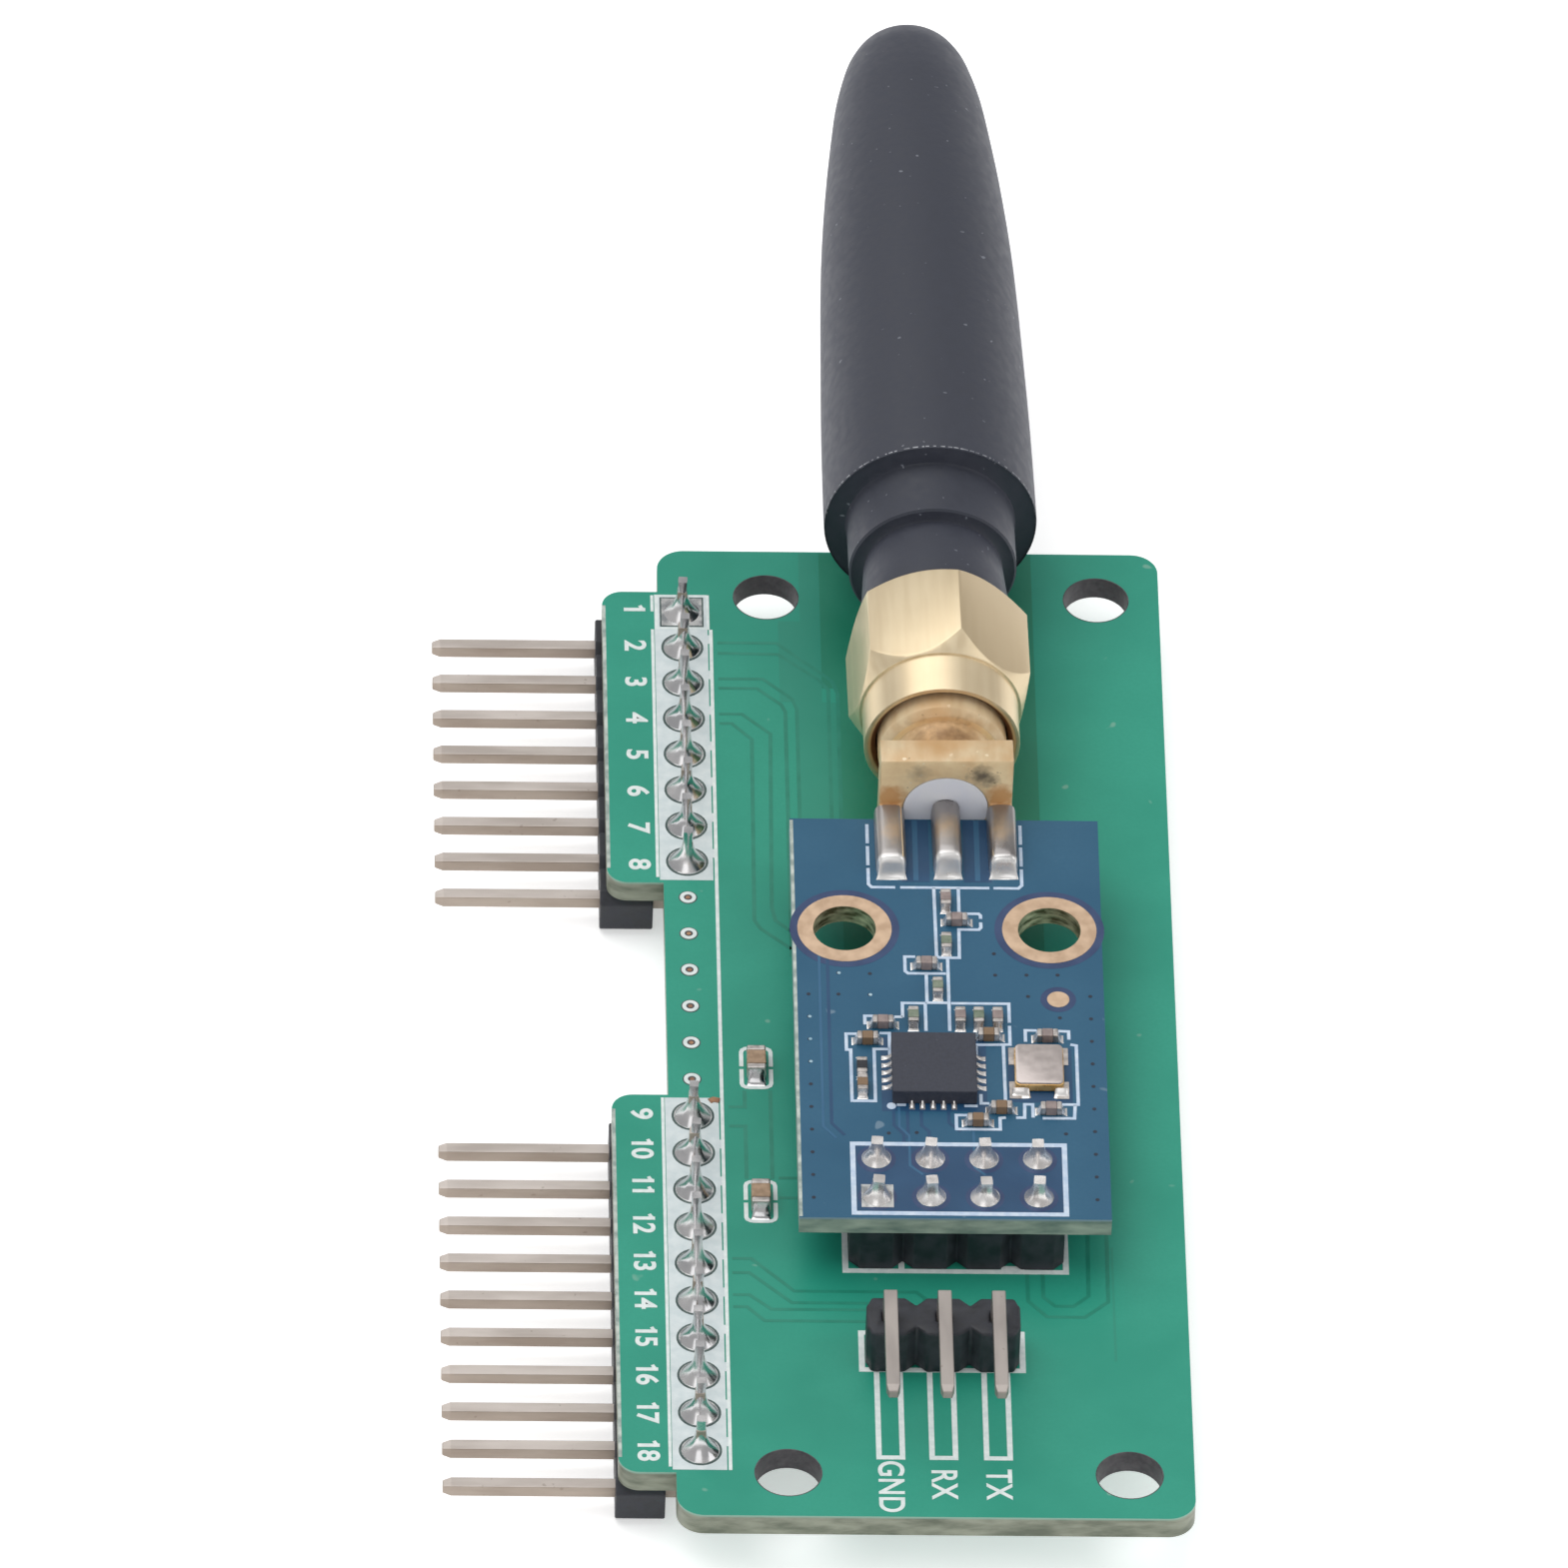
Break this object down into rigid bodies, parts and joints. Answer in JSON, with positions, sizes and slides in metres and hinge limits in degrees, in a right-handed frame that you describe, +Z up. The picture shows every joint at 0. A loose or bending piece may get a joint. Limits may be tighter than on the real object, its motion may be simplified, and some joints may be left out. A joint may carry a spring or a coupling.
{
  "type": "rf transceiver module",
  "caption": "Radio board with a stub antenna, stacked on a carrier board with right-angle pin strips along one edge and an upright serial header.",
  "frame": {"origin": "centre of the four mounting holes, on the carrier board's underside", "axes": "+Z up, out of the carrier's component side; +Y along the board to the antenna; +X away from the pin strips"},
  "size_m": [0.0351, 0.0976, 0.0144],
  "materials": {
    "carrier_laminate": "green lacquered fibreglass",
    "radio_laminate": "blue lacquered fibreglass",
    "strip_plastic": "black moulded",
    "pin_metal": "tin plated",
    "solder": "bright solder",
    "chip_plastic": "matt moulding compound",
    "brown_ceramic": "sintered",
    "green_ceramic": "glassy",
    "black_film": "glazed",
    "crystal_ceramic": "matt",
    "lid_metal": "plated",
    "jack_metal": "gold plated",
    "nut_metal": "brushed, pale gold plated",
    "white_insulator": "matt white",
    "spring_metal": "drawn wire",
    "boot_rubber": "matt black"
  },
  "bodies": {
    "root": {"carrier_board": "carrier_laminate", "edge_strip_rear": "strip_plastic", "edge_strip_front": "strip_plastic", "edge_pins_rear": "pin_metal", "edge_pins_front": "pin_metal", "edge_solder_rear": "solder", "edge_solder_front": "solder", "serial_strip": "strip_plastic", "serial_pins": "pin_metal", "serial_solder": "solder", "link_strip": "strip_plastic", "link_pins": "pin_metal", "link_solder_lower": "solder", "link_solder_upper": "solder", "large_capacitors": "brown_ceramic", "large_capacitor_caps": "solder", "radio_board": "radio_laminate", "transceiver_chip": "chip_plastic", "chip_contacts": "solder", "crystal_base": "crystal_ceramic", "crystal_lid": "lid_metal", "small_capacitors": "brown_ceramic", "small_inductors": "green_ceramic", "small_resistor": "black_film", "small_chip_caps": "solder", "jack_body": "jack_metal", "jack_insulator": "white_insulator", "jack_contact": "jack_metal", "jack_solder": "solder", "coupling_nut": "nut_metal", "plug_sleeve": "jack_metal", "plug_insulator": "white_insulator", "plug_pin": "jack_metal", "spring_coil": "spring_metal", "antenna_boot": "boot_rubber"}
  },
  "joints": []
}
